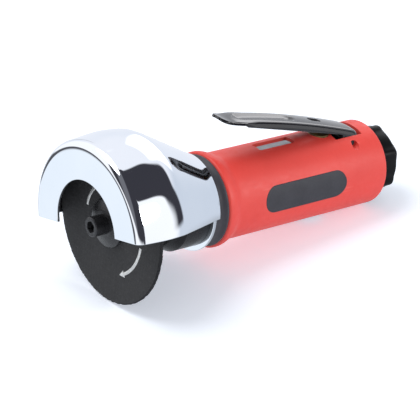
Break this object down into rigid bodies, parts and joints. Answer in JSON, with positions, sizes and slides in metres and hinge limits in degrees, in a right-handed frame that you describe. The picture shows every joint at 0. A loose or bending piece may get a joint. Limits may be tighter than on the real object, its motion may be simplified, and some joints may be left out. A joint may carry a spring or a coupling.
{
  "type": "pneumatic cut-off tool",
  "caption": "Compact in-line air cut-off tool: vane motor in a red grip sleeve, lever throttle, chromed swivelling guard over a small abrasive wheel, threaded air inlet at the rear.",
  "frame": {"origin": "centre of the air inlet's mouth at the rear of the tool", "axes": "+X along the tool's axis out of the air inlet, so the wheel is at the -X end; +Z on the throttle lever's side"},
  "size_m": [0.1825, 0.0795, 0.0806],
  "materials": {
    "abrasive": "gritty resin-bonded abrasive",
    "black_steel": "black oxide, satin",
    "steel": "ground steel",
    "phenolic": "laminated phenolic",
    "felt": "pressed felt",
    "dark_alloy": "dark satin coating",
    "collar_grey": "dark grey satin coating",
    "aluminium": "cast and turned aluminium",
    "guard_chrome": "bright chrome plate",
    "grip_red": "matte red composite",
    "badge_grey": "matte dark grey",
    "lever_black": "black nickel, glossy",
    "brass": "turned brass",
    "seal_rubber": "nitrile rubber",
    "cap_black": "satin black moulding"
  },
  "bodies": {
    "housing": {"nose_housing": "dark_alloy", "front_collar": "collar_grey", "motor_housing": "aluminium", "grip_sleeve": "grip_red", "side_badges": "badge_grey", "cylinder_liner": "steel", "front_end_plate": "steel", "rear_end_plate": "steel", "liner_dowel": "steel", "front_outer_race": "steel", "rear_outer_race": "steel", "bearing_washer": "steel", "dust_seal": "felt", "lever_pin": "steel", "valve_seat": "brass", "valve_bush": "brass", "valve_spring": "steel", "valve_plug": "steel", "plug_seal": "seal_rubber", "inlet_bushing": "steel", "inlet_screen": "brass", "deflector_ring": "steel"},
    "spindle": {"rotor": "steel", "rotor_vanes": "phenolic", "front_inner_race": "steel", "rear_inner_race": "steel", "inner_flange": "black_steel", "outer_flange": "black_steel", "cutting_wheel": "abrasive", "wheel_screw": "black_steel"},
    "front_ball_set": {"front_balls": "steel"},
    "rear_ball_set": {"rear_balls": "steel"},
    "guard": {"guard": "guard_chrome", "guard_screw": "black_steel"},
    "lever": {"throttle_lever": "lever_black"},
    "valve": {"valve_plunger": "brass", "valve_seal": "seal_rubber"},
    "deflector": {"exhaust_deflector": "cap_black", "exhaust_felt": "felt"}
  },
  "joints": [
    {"name": "wheel_spin", "type": "hinge", "parent": "housing", "child": "spindle", "pos_m": [0, 0, 0], "axis": [1, 0, 0], "continuous": true},
    {"name": "front_balls_turn", "type": "hinge", "parent": "housing", "child": "front_ball_set", "pos_m": [0, 0, 0], "axis": [1, 0, 0], "continuous": true},
    {"name": "rear_balls_turn", "type": "hinge", "parent": "housing", "child": "rear_ball_set", "pos_m": [0, 0, 0], "axis": [1, 0, 0], "continuous": true},
    {"name": "guard_turn", "type": "hinge", "parent": "housing", "child": "guard", "pos_m": [0, 0, 0], "axis": [1, 0, 0], "continuous": true},
    {"name": "lever_press", "type": "hinge", "parent": "housing", "child": "lever", "pos_m": [-0.0343, 0, 0.0166], "axis": [0, -1, 0], "range_deg": [0, 11], "stiffness_Nm_per_rad": 0.7, "springref_deg": -10.89},
    {"name": "valve_slide", "type": "slide", "parent": "housing", "child": "valve", "axis": [0, 0, -1], "range_m": [0, 0.003], "deforming": ["valve_spring"]},
    {"name": "deflector_turn", "type": "hinge", "parent": "housing", "child": "deflector", "pos_m": [0, 0, 0], "axis": [1, 0, 0], "continuous": true}
  ],
  "couplings": [
    {"joint": "front_balls_turn", "follows": "wheel_spin", "ratio": 0.3667},
    {"joint": "rear_balls_turn", "follows": "wheel_spin", "ratio": 0.36},
    {"joint": "valve_slide", "follows": "lever_press", "m_per_rad": 0.0146}
  ]
}
